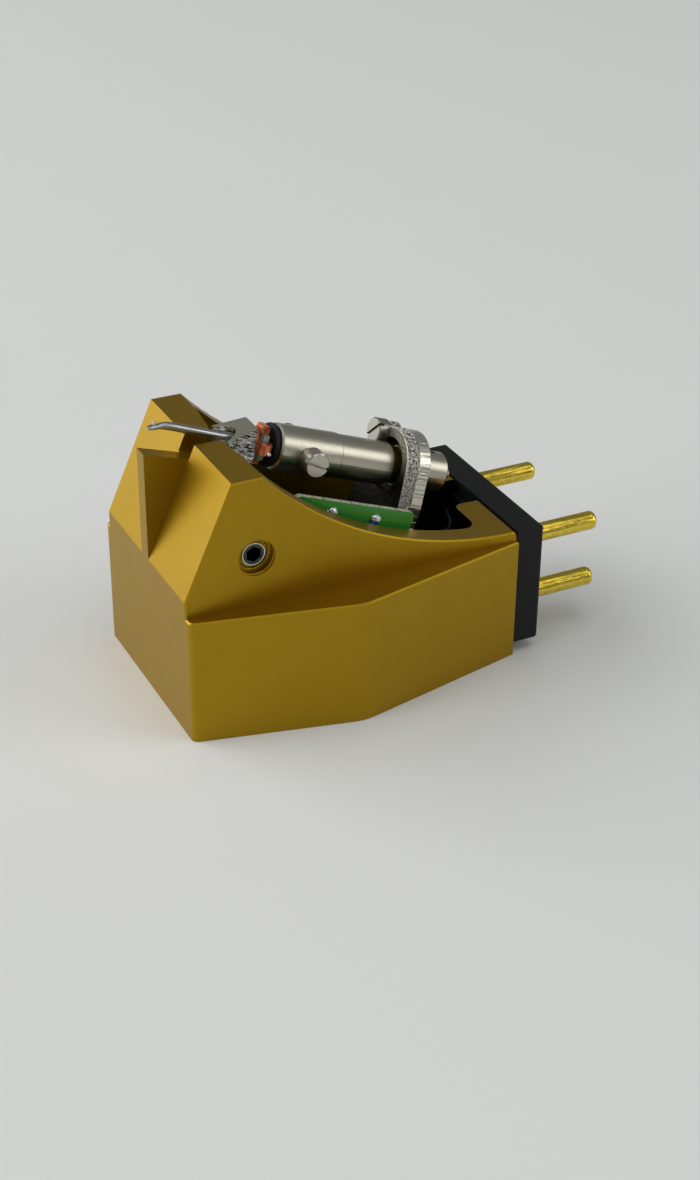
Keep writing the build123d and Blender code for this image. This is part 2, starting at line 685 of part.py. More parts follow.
# Rear core, a stepped rod through the bracket with its plug inside the rear sleeve
with BuildPart() as core:
    with BuildSketch(across(CORE_END)):
        Circle(CORE_DIAMETER / 2)
    extrude(amount=CORE_END - BRACKET_START - BRACKET_RECESS)
    chamfer(core.edges().filter_by(GeomType.CIRCLE).sort_by(Axis.Y)[-1], RIM_LIP)
    with BuildSketch(across(BRACKET_START + BRACKET_RECESS)):
        Circle(SLEEVE_BORE / 2 - SCREW_FIT)
    extrude(amount=CORE_PLUG)
    with BuildSketch(across(CORE_END)):
        Circle(WIRE_BORE / 2)
    extrude(amount=CORE_END, mode=Mode.SUBTRACT)
    hole_mouth = on_axis(CORE_END - CROSS_HOLE_INSET, up=CORE_DIAMETER / 2)
    with Locations(Plane(origin=hole_mouth, z_dir=(0, AXIS_SIN, AXIS_COS))):
        Hole(CROSS_HOLE / 2, CORE_DIAMETER / 3)
save(core.part, "rear_core")

# Copper anchor that holds the tie wire behind the core
with BuildPart() as anchor:
    with BuildSketch(across(CORE_END + ANCHOR_LENGTH)):
        Circle(ANCHOR_TIP_DIAMETER / 2)
    with BuildSketch(across(CORE_END)):
        Circle(ANCHOR_DIAMETER / 2)
    loft()
    with BuildSketch(across(CORE_END + ANCHOR_LENGTH)):
        Circle(WIRE_DIAMETER / 2)
    extrude(amount=ANCHOR_LENGTH, mode=Mode.SUBTRACT)
save(anchor.part, "wire_anchor")

# Tie wire from the anchor through the core and the damper to the armature
with BuildPart() as tie_wire:
    with BuildSketch(across(CORE_END + ANCHOR_LENGTH)):
        Circle(WIRE_DIAMETER / 2)
    extrude(amount=CORE_END + ANCHOR_LENGTH - ARMATURE_MIDDLE - FORMER_THICKNESS / 2)
save(tie_wire.part, "tie_wire")

# Slotted screws: one each side of the front sleeve, one on the bracket's lug
screw_plane = beside(SCREW_SETBACK_ON_SLEEVE, SLEEVE_DIAMETER / 2)
sleeve_screw = cheese_head(screw_plane, HEAD_HEIGHT, SHANK_LENGTH, HEAD_SLOT_TURN)
save(sleeve_screw, "sleeve_screw_right")
save(mirror(sleeve_screw, about=Plane.YZ), "sleeve_screw_left")
lug_plane = across(BRACKET_START, -LUG_ACROSS, LUG_UP)
clamp_screw = cheese_head(lug_plane, CLAMP_HEAD_HEIGHT, LUG_THICKNESS, CLAMP_SLOT_TURN)
save(clamp_screw, "clamp_screw")

# Rubber damper in front of the sleeve
with BuildPart() as damper:
    with BuildSketch(across(-DAMPER_GAP)):
        Circle(DAMPER_DIAMETER / 2)
        Circle(DAMPER_BORE / 2, mode=Mode.SUBTRACT)
    extrude(amount=DAMPER_THICKNESS)
    rims = damper.edges().filter_by(GeomType.CIRCLE).sort_by(SortBy.RADIUS)[-2:]
    fillet(rims, RIM_LIP)
save(damper.part, "damper")

# Cantilever: a tube along the axis, bent level and flattened at its front end
kink_y = FRONT + KINK_SETBACK
tip_y = FRONT + TIP_SETBACK
kink_height = axis_height(kink_y) + KINK_RISE
with BuildPart() as cantilever:
    with BuildLine() as path:
        FilletPolyline(
            on_axis(ARMATURE_MIDDLE),
            (0, kink_y, kink_height),
            (0, tip_y, kink_height),
            radius=KINK_RADIUS,
        )
    with BuildSketch(Plane(origin=path.wire() @ 0, z_dir=path.wire() % 0)):
        Circle(CANTILEVER_DIAMETER / 2)
    sweep()
    for level in (-1, 1):
        with BuildSketch(Plane.XY.offset(kink_height + level * CANTILEVER_TIP_THICKNESS / 2)):
            with Locations((0, tip_y)):
                Rectangle(
                    CANTILEVER_DIAMETER, KINK_SETBACK - TIP_SETBACK,
                    align=(Align.CENTER, Align.MIN),
                )
        extrude(amount=level * CANTILEVER_DIAMETER, mode=Mode.SUBTRACT)
save(cantilever.part, "cantilever")

# Armature: a square former with two crossed coils wound over it
with BuildPart() as former:
    with BuildSketch(across(ARMATURE_MIDDLE + FORMER_THICKNESS / 2)):
        Rectangle(FORMER_WIDTH, FORMER_WIDTH)
        Circle(CANTILEVER_DIAMETER / 2, mode=Mode.SUBTRACT)
    extrude(amount=FORMER_THICKNESS)
    add(cantilever.part, mode=Mode.SUBTRACT)
save(former.part, "coil_former")

with BuildPart() as inner_coil:
    with BuildSketch(across(ARMATURE_MIDDLE + FORMER_THICKNESS / 2 + COIL_LAYER)):
        Rectangle(COIL_WIDTH, FORMER_WIDTH + 2 * COIL_BUILD)
        Circle(CANTILEVER_DIAMETER / 2, mode=Mode.SUBTRACT)
    extrude(amount=FORMER_THICKNESS + 2 * COIL_LAYER)
    add(former.part, mode=Mode.SUBTRACT)
    add(cantilever.part, mode=Mode.SUBTRACT)
save(inner_coil.part, "coil_right")

with BuildPart() as outer_coil:
    with BuildSketch(across(ARMATURE_MIDDLE + COIL_HALF)):
        Rectangle(FORMER_WIDTH + 2 * COIL_BUILD, COIL_WIDTH)
        Circle(CANTILEVER_DIAMETER / 2, mode=Mode.SUBTRACT)
    extrude(amount=2 * COIL_HALF)
    add(former.part, mode=Mode.SUBTRACT)
    add(cantilever.part, mode=Mode.SUBTRACT)
    add(inner_coil.part, mode=Mode.SUBTRACT)
save(outer_coil.part, "coil_left")

# Diamond stylus through the cantilever's front end
with BuildPart() as stylus:
    shank_base = Plane.XY.offset(kink_height + CANTILEVER_TIP_THICKNESS / 2)
    with BuildSketch(shank_base):
        with Locations((0, FRONT + STYLUS_SETBACK)):
            Rectangle(STYLUS_WIDTH, STYLUS_WIDTH)
    extrude(amount=STYLUS_HEIGHT - STYLUS_POINT)
    with BuildSketch(shank_base.offset(STYLUS_HEIGHT - STYLUS_POINT)):
        with Locations((0, FRONT + STYLUS_SETBACK)):
            Rectangle(STYLUS_WIDTH, STYLUS_WIDTH)
    with BuildSketch(shank_base.offset(STYLUS_HEIGHT)):
        with Locations((0, FRONT + STYLUS_SETBACK)):
            Rectangle(STYLUS_WIDTH / 6, STYLUS_WIDTH / 6)
    loft()
save(stylus.part, "stylus")

# Circuit board beside the generator, bonded to the bracket's ear
board_plane = beside(BOARD_START, BOARD_INNER)
with BuildPart() as board:
    with BuildSketch(board_plane):
        with Locations((BOARD_LENGTH / 2, -BOARD_DROP - BOARD_HEIGHT / 2)):
            RectangleRounded(BOARD_LENGTH, BOARD_HEIGHT, BOARD_CORNER)
    extrude(amount=BOARD_THICKNESS)
save(board.part, "circuit_board")

# Four leads from the board's joints, down behind it and through the channel to the pins
leads = {}
for name, points in LEAD_ROUTES.items():
    with BuildPart() as lead:
        with BuildLine() as route:
            FilletPolyline(*points, radius=bend_radii(points))
        with BuildSketch(Plane(origin=route.wire() @ 0, z_dir=route.wire() % 0)):
            Circle(LEAD_DIAMETER / 2)
        sweep()
    length = route.wire().length
    section = pi * (LEAD_DIAMETER / 2) ** 2
    radii = ", ".join(f"{radius:.2f}" for radius in bend_radii(points))
    share = lead.part.volume / section / length
    print(f"{name}: {length:.2f} mm long, volume over section times length {share:.4f}, radii {radii}")
    leads[name] = lead.part
    save(lead.part, name)

# Solder joints, one dome round the start of each lead
with BuildPart() as solder:
    for points in LEAD_ROUTES.values():
        joint = (BOARD_OUTER, points[0][1], points[0][2])
        with BuildSketch(Plane(origin=joint, x_dir=(0, 1, 0), z_dir=(0, 0, -1))):
            with BuildLine():
                Line((0, 0), (SOLDER_RADIUS, 0))
                EllipticalCenterArc((0, 0), SOLDER_RADIUS, SOLDER_HEIGHT, 0, arc_size=90)
                Line((0, SOLDER_HEIGHT), (0, 0))
            make_face()
        revolve(axis=Axis(joint, (1, 0, 0)))
    for lead_part in leads.values():
        add(lead_part, mode=Mode.SUBTRACT)
save(solder.part, "solder_joints")
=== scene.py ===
import json
from math import cos, degrees, pi, radians, sin

import bmesh
import bpy
from mathutils import Matrix, Vector


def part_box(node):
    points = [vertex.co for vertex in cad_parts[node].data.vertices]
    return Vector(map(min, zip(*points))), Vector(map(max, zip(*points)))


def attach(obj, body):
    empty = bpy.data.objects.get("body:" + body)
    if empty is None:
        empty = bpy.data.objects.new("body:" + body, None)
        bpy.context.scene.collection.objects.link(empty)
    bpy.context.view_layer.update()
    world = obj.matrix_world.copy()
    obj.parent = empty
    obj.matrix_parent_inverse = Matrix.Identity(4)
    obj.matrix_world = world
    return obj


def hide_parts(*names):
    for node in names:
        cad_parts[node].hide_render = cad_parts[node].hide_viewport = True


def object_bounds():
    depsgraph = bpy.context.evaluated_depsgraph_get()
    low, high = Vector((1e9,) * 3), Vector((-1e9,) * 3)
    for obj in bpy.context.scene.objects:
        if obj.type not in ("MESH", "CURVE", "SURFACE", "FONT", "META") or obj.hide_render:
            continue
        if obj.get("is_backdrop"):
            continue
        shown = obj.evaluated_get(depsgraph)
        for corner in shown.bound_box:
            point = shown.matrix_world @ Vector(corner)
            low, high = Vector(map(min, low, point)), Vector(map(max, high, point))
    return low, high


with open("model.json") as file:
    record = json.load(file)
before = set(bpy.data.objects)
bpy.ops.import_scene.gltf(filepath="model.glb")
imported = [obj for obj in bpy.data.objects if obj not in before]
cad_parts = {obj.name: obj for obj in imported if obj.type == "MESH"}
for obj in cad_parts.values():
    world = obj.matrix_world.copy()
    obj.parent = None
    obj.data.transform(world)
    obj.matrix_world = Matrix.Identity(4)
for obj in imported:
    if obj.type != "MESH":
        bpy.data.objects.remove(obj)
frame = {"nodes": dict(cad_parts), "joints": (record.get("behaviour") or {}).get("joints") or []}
cad_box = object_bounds()
MM = 0.001
size_mm = [(high - low) / MM for low, high in zip(*cad_box)]
print("solids:", len(frame["nodes"]), " size in mm:", [round(value, 2) for value in size_mm])

# %% [markdown]
# The camera
#
# A camera could be aimed by eye. Here its place and its lens were worked out from the straight edges of
# the housing, so the picture has the same perspective as the photograph. It looks at a point low in the
# housing, and it is rolled by half a degree, because the real camera did not stand quite level.
# %% Place the camera
CAMERA_PLACE = Vector((100.79, -46.48, 69.59)) * MM
CAMERA_TARGET = Vector((0.0, 3.63, 3.53)) * MM
CAMERA_ROLL = radians(0.56)
LENS = 60.41

camera_data = bpy.data.cameras.new("camera")
camera_data.lens = LENS
camera_data.clip_start = 0.01
camera_data.clip_end = 10
camera = bpy.data.objects.new("camera", camera_data)
bpy.context.scene.collection.objects.link(camera)
aim = (CAMERA_TARGET - CAMERA_PLACE).to_track_quat("-Z", "Y").to_matrix().to_4x4()
camera.matrix_world = Matrix.Translation(CAMERA_PLACE) @ aim @ Matrix.Rotation(CAMERA_ROLL, 4, "Z")
bpy.context.scene.camera = camera
print("camera distance in mm:", round((CAMERA_TARGET - CAMERA_PLACE).length / MM, 1))

# %% [markdown]
# The terminal block: a finish starts with one shader
#
# The plate that holds the pins is moulded plastic, black and matte. A material could be put together by
# hand in the shader editor. Here a function makes it, because every piece needs the same first steps:
# one Principled shader, and each value that is the same all over the piece set on its own socket.
# %% Start the black plastic


def shader_of(finish):
    """The one shader of a material."""
    return finish.node_tree.nodes["Principled BSDF"]


def new_finish(name, colour, metallic=0.0, roughness=0.5, **sockets):
    """A material whose constant values are set on the shader's own sockets."""
    finish = bpy.data.materials.new(name)
    finish.use_nodes = True
    values = {"Base Color": (*colour, 1), "Metallic": metallic, "Roughness": roughness, **sockets}
    for socket, value in values.items():
        shader_of(finish).inputs[socket.replace("_", " ")].default_value = value
    return finish


black = new_finish("black_plastic", (0.006, 0.0065, 0.0065), roughness=0.55, Specular_IOR_Level=0.25)
print("started", black.name)

# %% [markdown]
# The grain of the plastic
#
# Under a lens the plate has a fine grain from its mould. A noise texture gives such a grain without any
# picture. It reads the point on the piece in metres, so blobs of 0.1 mm need a scale of 1 / 0.0001. The
# point can be turned and squeezed first, which draws the blobs out into scratches or turning rings.
# %% Make a noise of a real size


def add_node(finish, kind, inputs, **settings):
    """A node with its settings made, and with each input either linked or given a value."""
    node = finish.node_tree.nodes.new("ShaderNode" + kind)
    for name, value in settings.items():
        setattr(node, name, value)
    for socket, value in inputs.items():
        if isinstance(value, bpy.types.NodeSocket):
            finish.node_tree.links.new(value, node.inputs[socket])
        else:
            node.inputs[socket].default_value = value
    return node


def point_on(finish):
    """The point on the piece, in metres from the frame's origin."""
    return add_node(finish, "TexCoord", {}).outputs["Object"]


def noise(finish, blob_mm, detail=3.0, squeeze=(1, 1, 1), tilt=0.0, rough=0.5):
    """Noise with blobs about blob_mm across. A squeeze of 0.1 makes them ten times as long that way."""
    turned = add_node(finish, "Mapping", {"Vector": point_on(finish), "Rotation": (tilt, 0, 0)})
    squeezed = add_node(finish, "VectorMath", {0: turned.outputs[0], 1: squeeze}, operation="MULTIPLY")
    blobs = {"Scale": 1 / (blob_mm * MM), "Detail": detail, "Roughness": rough}
    return add_node(finish, "TexNoise", {"Vector": squeezed.outputs[0], **blobs}).outputs["Fac"]


mould_grain = noise(black, 0.09, 2)
dull_clouds = noise(black, 0.3, 3)
print("nodes in", black.name, "so far:", len(black.node_tree.nodes))

# %% [markdown]
# Relief and gloss
#
# The grain lifts the surface by a few thousandths of a millimetre, and wider clouds make some places
# glossier than others. Real displacement would need millions of faces for so little height, so the lift
# is bump, with its depth given in millimetres. A second bump on the same shader adds to the first.
# %% Finish the terminal block


def spread(finish, value, low, high, start=0.0, end=1.0):
    """Goes from low at start to high at end, and stays there beyond them. Start may be above end."""
    ends = {"From Min": start, "From Max": end, "To Min": low, "To Max": high}
    return add_node(finish, "MapRange", {"Value": value, **ends}).outputs["Result"]


def vary_gloss(finish, pattern, low, high):
    """Roughness that goes from low to high as the pattern goes from 0 to 1."""
    roughness = spread(finish, pattern, low, high)
    finish.node_tree.links.new(roughness, shader_of(finish).inputs["Roughness"])


def raise_by(finish, height, depth_mm):
    """Bump of a real depth, added to any bump that the shader already has."""
    normal = shader_of(finish).inputs["Normal"]
    inputs = {"Height": height, "Distance": depth_mm * MM, "Strength": 1.0}
    if normal.is_linked:
        inputs["Normal"] = normal.links[0].from_socket
    bump = add_node(finish, "Bump", inputs)
    finish.node_tree.links.new(bump.outputs["Normal"], normal)


def dress(finish, *solids):
    """Gives CAD solids their finish."""
    for name in solids:
        materials = frame["nodes"][name].data.materials
        materials.clear()
        materials.append(finish)
    print(finish.name, "on", ", ".join(solids))


vary_gloss(black, dull_clouds, 0.48, 0.62)
raise_by(black, mould_grain, 0.006)
dress(black, "terminal_block")

# %% [markdown]
# The signal pins
#
# The pins are drawn brass with a thin gold plate. Drawing leaves long shallow streaks, so the noise is
# squeezed along the pin. The plate is uneven in colour too: a second, brighter gold is laid over the
# first where a noise is high, which looks more like plate than one flat yellow does.
# %% Gold plated brass


def lay_over(finish, mask, colour):
    """Lays a colour over the one that is there, where the mask is 1."""
    base = shader_of(finish).inputs["Base Color"]
    under = base.links[0].from_socket if base.is_linked else base.default_value
    colours = {"Factor": mask, "A": under, "B": (*colour, 1)}
    mix = add_node(finish, "Mix", colours, data_type="RGBA")
    finish.node_tree.links.new(mix.outputs["Result"], base)


plated = new_finish("gold_plate", (0.70, 0.50, 0.045), metallic=1.0, roughness=0.3)
lay_over(plated, spread(plated, noise(plated, 0.5, 3), 0, 1, 0.3, 0.7), (0.86, 0.66, 0.10))
vary_gloss(plated, noise(plated, 0.25, 3), 0.12, 0.26)
raise_by(plated, noise(plated, 0.16, 2, squeeze=(1, 0.06, 1)), 0.04)
dress(plated, "pin_left_signal", "pin_left_ground", "pin_right_signal", "pin_right_ground")

# %% [markdown]
# The housing
#
# The housing is milled from aluminium, blasted to a fine grain and dyed gold in the anodising bath. A
# yellow paint would look flat, because the light here comes back from metal through a tinted layer. So
# the shader is all metal in two close golds, with a fine grain, and a weak coat stands for the layer.
# %% Gold anodised aluminium
GOLD = (0.40, 0.245, 0.012)
GOLD_DARK = (0.392, 0.238, 0.0115)
gold = new_finish(
    "gold_anodised", GOLD_DARK, metallic=1.0, roughness=0.42, Coat_Weight=0.06, Coat_Roughness=0.35
)
lay_over(gold, spread(gold, noise(gold, 1.6, 2), 0, 1, 0.35, 0.65), GOLD)
vary_gloss(gold, noise(gold, 0.12, 2), 0.4, 0.46)
raise_by(gold, noise(gold, 0.07, 2), 0.004)
dress(gold, "housing")

# %% [markdown]
# The cavity's painted shade
#
# The cavity lies in deep shade, far darker than the slopes round it, so its faces get a painted shade.
# They could get a second material, but face numbers change when a solid is rebuilt. A mask is safer: it
# is 1 inside a box measured in millimetres, and 0 outside.
# %% Find the cavity
CAVITY_LOW = (-4.97, -4.0, 0)
CAVITY_HIGH = (4.97, 12.4, 20)


def times(finish, *masks):
    """The product of masks, which is 1 only where all of them are 1."""
    product = masks[0]
    for mask in masks[1:]:
        product = add_node(finish, "Math", {0: product, 1: mask}, operation="MULTIPLY").outputs[0]
    return product


def inside_box(finish, low_mm, high_mm):
    """1 where the point on the piece lies in a box, 0 outside."""
    place = add_node(finish, "SeparateXYZ", {"Vector": point_on(finish)})
    near = []
    for axis, low, high in zip("XYZ", low_mm, high_mm):
        span = {0: place.outputs[axis], 1: (low + high) / 2 * MM, 2: (high - low) / 2 * MM}
        near.append(add_node(finish, "Math", span, operation="COMPARE").outputs[0])
    return times(finish, *near)


cavity = inside_box(gold, CAVITY_LOW, CAVITY_HIGH)
print("the cavity lies between", CAVITY_LOW, "and", CAVITY_HIGH)

# %% [markdown]
# The bright deck behind the cavity
#
# The box takes in the level deck behind the cavity too, which is as bright as the slopes. The deck is
# known by looking up and by its height, and what both masks find is taken out of the painted shade. A
# smaller box couldn't do that, because the dark wall below the deck is at the same place in plan.
# %% Paint shade in the cavity and leave the deck
REAR_DECK_HEIGHT = 5.0
PAINTED_CAVITY_SHADE = (0.018, 0.016, 0.006)


def facing(finish, way, start=0.6, end=0.8):
    """1 on faces that look the given way, 0 on the others."""
    normal = add_node(finish, "TexCoord", {}).outputs["Normal"]
    match = add_node(finish, "VectorMath", {0: normal, 1: way}, operation="DOT_PRODUCT")
    return spread(finish, match.outputs["Value"], 0, 1, start, end)


def by_height(finish, start_mm, end_mm, low=0, high=1):
    """Goes from low at the start height to high at the end height."""
    place = add_node(finish, "SeparateXYZ", {"Vector": point_on(finish)})
    return spread(finish, place.outputs["Z"], low, high, start_mm * MM, end_mm * MM)


above_deck = by_height(gold, REAR_DECK_HEIGHT, REAR_DECK_HEIGHT + 0.1)
rear_deck = times(gold, facing(gold, (0, 0, 1), 0.3, 0.5), above_deck)
# Painted shade: a near-black colour on the cavity's faces, where the lamps leave deep shade.
lay_over(gold, times(gold, cavity, spread(gold, rear_deck, 1, 0)), PAINTED_CAVITY_SHADE)
print("nodes in", gold.name, "so far:", len(gold.node_tree.nodes))

# %% [markdown]
# The threads of the grub screw holes
#
# Each hole in the housing's sides is tapped, and a few turns of thread show in its mouth. A modelled
# helix would be too fine to see. A wave texture with one band for each turn is enough as bump, and a
# mask keeps it inside the mouth.
# %% Cut the threads
THREAD_PITCH = 0.4
THREAD_DEPTH = 0.14
WAVE_BANDS = 3.18  # bands that the wave texture draws in one unit at a scale of 1
MOUTH_INNER, MOUTH_OUTER, MOUTH_HALF = 4.6, 6.44, 1.3
low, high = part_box("grub_screw_right")
GRUB = (low + high) / (2 * MM)
bands = {"Vector": point_on(gold), "Scale": 1 / (THREAD_PITCH * MM) / WAVE_BANDS}
thread = add_node(gold, "TexWave", bands)
for side in (-1, 1):
    near, far = sorted((side * MOUTH_INNER, side * MOUTH_OUTER))
    corner = (near, GRUB.y - MOUTH_HALF, GRUB.z - MOUTH_HALF)
    mouth = inside_box(gold, corner, (far, GRUB.y + MOUTH_HALF, GRUB.z + MOUTH_HALF))
    raise_by(gold, times(gold, thread.outputs["Fac"], mouth), THREAD_DEPTH)
print("grub screw at y, z in mm:", round(GRUB.y, 2), round(GRUB.z, 2))

# %% [markdown]
# The generator's axis
#
# The sleeves, the bracket and the wound parts all sit on one tilted axis. It could be copied from the
# CAD source by hand. Reading it from the frame is safer: the joints turn about a point on it, and the
# first joint's axis is square to it. Every place on the generator is then given as a distance behind
# the front rim of the sleeve, where the tube starts.
# %% Measure the axis
PIVOT_AHEAD = 0.35 * MM
ARMATURE_MIDDLE = -0.95
PIVOT = Vector(frame["joints"][0]["pos_m"])
UP = Vector(frame["joints"][0]["axis"]).normalized()
ALONG = Vector((0, UP.z, -UP.y))
TILT = Vector((0, 1, 0)).angle(ALONG)
RIM = PIVOT + ALONG * PIVOT_AHEAD


def on_axis(back, out=0.0, up=0.0):
    """A point in metres, from millimetres behind the sleeve's front rim, to the side and upwards."""
    return RIM + (ALONG * back + Vector((1, 0, 0)) * out + UP * up) * MM


print("tilt in degrees:", round(degrees(TILT), 2), " rim:", [round(c / MM, 3) for c in RIM])

# %% [markdown]
# The sleeves and the rear core
#
# They were turned from soft iron, polished a little and nickel plated. Nickel is warmer than chrome, and
# the lathe leaves fine rings. An anisotropic shader could fake them, but it needs tangents on each tube.
# A noise turned to the axis and squeezed across it gives real rings, in the gloss and in the relief.
# %% Satin nickel
LATHE = (0.02, 1, 0.02)
nickel = new_finish("satin_nickel", (0.50, 0.47, 0.385), metallic=1.0, roughness=0.33)
turning_rings = noise(nickel, 0.06, 2, squeeze=LATHE, tilt=TILT)
vary_gloss(nickel, turning_rings, 0.26, 0.42)
raise_by(nickel, turning_rings, 0.0035)
dress(nickel, "front_sleeve", "rear_sleeve", "rear_core")

# %% [markdown]
# The slotted screws
#
# A cheese head screw is parted off on a lathe, so its face is nearly flat, with a brighter plate than
# the sleeves have. Rings would be finer than one dot of the picture, so a little noise in the gloss is
# enough. The clamp screw has been turned often: it is darker, duller and a little battered.
# %% Screw nickel
bright = new_finish("screw_nickel", (0.54, 0.51, 0.43), metallic=1.0, roughness=0.28)
vary_gloss(bright, noise(bright, 0.15, 3), 0.2, 0.42)
raise_by(bright, noise(bright, 0.05, 2), 0.002)
dress(bright, "sleeve_screw_right", "sleeve_screw_left")

worn = new_finish("worn_nickel", (0.34, 0.33, 0.285), metallic=1.0, roughness=0.36)
vary_gloss(worn, noise(worn, 0.2, 3), 0.3, 0.48)
raise_by(worn, noise(worn, 0.08, 3), 0.006)
dress(worn, "clamp_screw")

# %% [markdown]
# The cast clamp bracket
#
# The bracket is a casting. Its front half is as rough as it left the mould, and the rear half of its
# rim was cleaned up with a file. The two could be two materials with a cut in the solid. Here one mask,
# measured along the generator's axis, says where the rough half ends. The Bevel node comes first: it
# shades the sharp edges of the solid as if the tumbling barrel had rounded them a little.
# %% Cast nickel
CAST_EDGE = 0.09
BRACKET_MIDDLE = 9.5
cast = new_finish("cast_nickel", (0.68, 0.655, 0.56), metallic=1.0, roughness=0.3)
rounded = add_node(cast, "Bevel", {"Radius": CAST_EDGE * MM}, samples=6)
cast.node_tree.links.new(rounded.outputs["Normal"], shader_of(cast).inputs["Normal"])


def along_axis(finish, start_mm, end_mm):
    """Goes from 0 to 1 between two places on the generator's axis."""
    along = add_node(finish, "VectorMath", {0: point_on(finish), 1: ALONG}, operation="DOT_PRODUCT")
    zero = RIM.dot(ALONG)
    return spread(finish, along.outputs["Value"], 0, 1, zero + start_mm * MM, zero + end_mm * MM)


facing_front = facing(cast, -ALONG)
rough_half = along_axis(cast, BRACKET_MIDDLE + 0.05, BRACKET_MIDDLE - 0.1)
rough_rim = times(cast, rough_half, facing(cast, -ALONG, 0.8, 0.6))
raise_by(cast, times(cast, noise(cast, 0.2, 4, rough=0.7), rough_half), 0.12)
raise_by(cast, times(cast, noise(cast, 0.17, 3, rough=0.75), rough_rim), 0.35)
vary_gloss(cast, noise(cast, 0.4, 3), 0.2, 0.42)
dress(cast, "generator_bracket")

# %% [markdown]
# The filed half of the bracket's rim
#
# The file left a few grooves across the rim, mostly low down where it caught. A noise that only changes
# with height gives level grooves, and a narrow band of its values keeps them few and clean.
# %% File the rear rim
GROOVES_FROM, GROOVES_FULL = 14.0, 13.4
facing_rear = facing(cast, ALONG)
filed_half = along_axis(cast, BRACKET_MIDDLE - 0.05, BRACKET_MIDDLE + 0.05)
filed_rim = times(cast, filed_half, facing(cast, ALONG, 0.8, 0.6))
file_strokes = noise(cast, 0.13, 1, squeeze=(0.02, 0.02, 1), tilt=TILT)
grooves = spread(cast, file_strokes, 0, 1, 0.54, 0.6)
raise_by(cast, times(cast, grooves, filed_rim, by_height(cast, GROOVES_FROM, GROOVES_FULL)), 0.05)
print("the file reaches from", BRACKET_MIDDLE, "mm behind the rim of the sleeve")

# %% [markdown]
# Painted highlight and painted shade on the bracket
#
# The rough rim gets a painted highlight high up, the two flat faces get a painted grey shade, and low
# down in the cavity the front gets a near-black painted shade. Small cards and lamps round the object
# could give that, but they would show in every other metal too. Masks by height and by direction lay the
# painted shades on instead, and painted shade goes into the pits between the lumps of the rim.
# %% Paint shade on the faces and the pits, and a highlight on the rim
REAR_FACE_SHADE = (0.28, 0.27, 0.23)
FRONT_FACE_SHADE = (0.24, 0.23, 0.19)
PAINTED_RIM_HIGHLIGHT = (0.98, 0.96, 0.88)
PAINTED_BRACKET_SHADE = (0.03, 0.029, 0.024)
PAINTED_PIT_SHADE = (0.015, 0.014, 0.011)
RIM_HIGHLIGHT_FROM, RIM_HIGHLIGHT_FULL = 11.0, 13.5
SHADE_FROM, SHADE_FULL = 13.6, 12.0
PIT_SHADE_FAINT, PIT_SHADE_FULL = 11.0, 14.0

# Painted shade on the rear and front faces, a painted highlight on the rough rim high up, and painted
# shade on the front low down and in the pits.
lay_over(cast, facing_rear, REAR_FACE_SHADE)
lay_over(cast, facing_front, FRONT_FACE_SHADE)
lay_over(cast, times(cast, rough_rim, by_height(cast, RIM_HIGHLIGHT_FROM, RIM_HIGHLIGHT_FULL)), PAINTED_RIM_HIGHLIGHT)
lay_over(cast, times(cast, facing_front, by_height(cast, SHADE_FROM, SHADE_FULL)), PAINTED_BRACKET_SHADE)
shaded_pits = spread(cast, noise(cast, 0.15, 3, rough=0.75), 1, 0, 0.46, 0.5)
pit_shade_strength = by_height(cast, PIT_SHADE_FAINT, PIT_SHADE_FULL, 0.5, 0.95)
lay_over(cast, times(cast, shaded_pits, rough_rim, pit_shade_strength), PAINTED_PIT_SHADE)
print("nodes in", cast.name, "so far:", len(cast.node_tree.nodes))

# %% [markdown]
# The ring's painted edge highlight and its painted bore shade
#
# The ring's front edge gets a painted highlight, a thin bright line, and its bore and the foot of the
# bracket get painted shade. Edge and bore are found by their distance from the axis, because a line that
# was drawn on the solid would be lost when the solid changes.
# %% Paint a highlight on the edge and shade in the bore
EDGE_FROM, EDGE_TO, BORE_RADIUS = 2.33, 2.54, 1.8
ARC_BOTTOM, ARC_TOP = 12.2, 14.8
FOOT_LOW, FOOT_HIGH = (-5, -8, 0), (5, 12, 8.2)
PAINTED_EDGE_HIGHLIGHT = (0.95, 0.93, 0.86)
PAINTED_BORE_SHADE = (0.05, 0.046, 0.024)


def from_line(finish, point, way, start_mm, end_mm):
    """Goes from 0 to 1 between two distances from a line."""
    offset = add_node(finish, "VectorMath", {0: point_on(finish), 1: point}, operation="SUBTRACT")
    square = add_node(finish, "VectorMath", {0: offset.outputs[0], 1: way}, operation="CROSS_PRODUCT")
    distance = add_node(finish, "VectorMath", {0: square.outputs[0]}, operation="LENGTH")
    return spread(finish, distance.outputs["Value"], 0, 1, start_mm * MM, end_mm * MM)


ring = times(
    cast,
    from_line(cast, RIM, ALONG, EDGE_FROM, EDGE_FROM + 0.03),
    from_line(cast, RIM, ALONG, EDGE_TO, EDGE_TO - 0.04),
)
arc = times(
    cast,
    by_height(cast, ARC_BOTTOM, ARC_BOTTOM + 0.6),
    by_height(cast, ARC_TOP, ARC_TOP - 0.8),
)
# Painted highlight: a thin near-white line on the front edge of the ring.
lay_over(cast, times(cast, ring, arc, facing_front), PAINTED_EDGE_HIGHLIGHT)
# Painted shade in the bore and on the foot of the bracket.
lay_over(cast, from_line(cast, RIM, ALONG, BORE_RADIUS, BORE_RADIUS - 0.04), PAINTED_BORE_SHADE)
lay_over(cast, inside_box(cast, FOOT_LOW, FOOT_HIGH), PAINTED_BRACKET_SHADE)
print("nodes in", cast.name, ":", len(cast.node_tree.nodes))

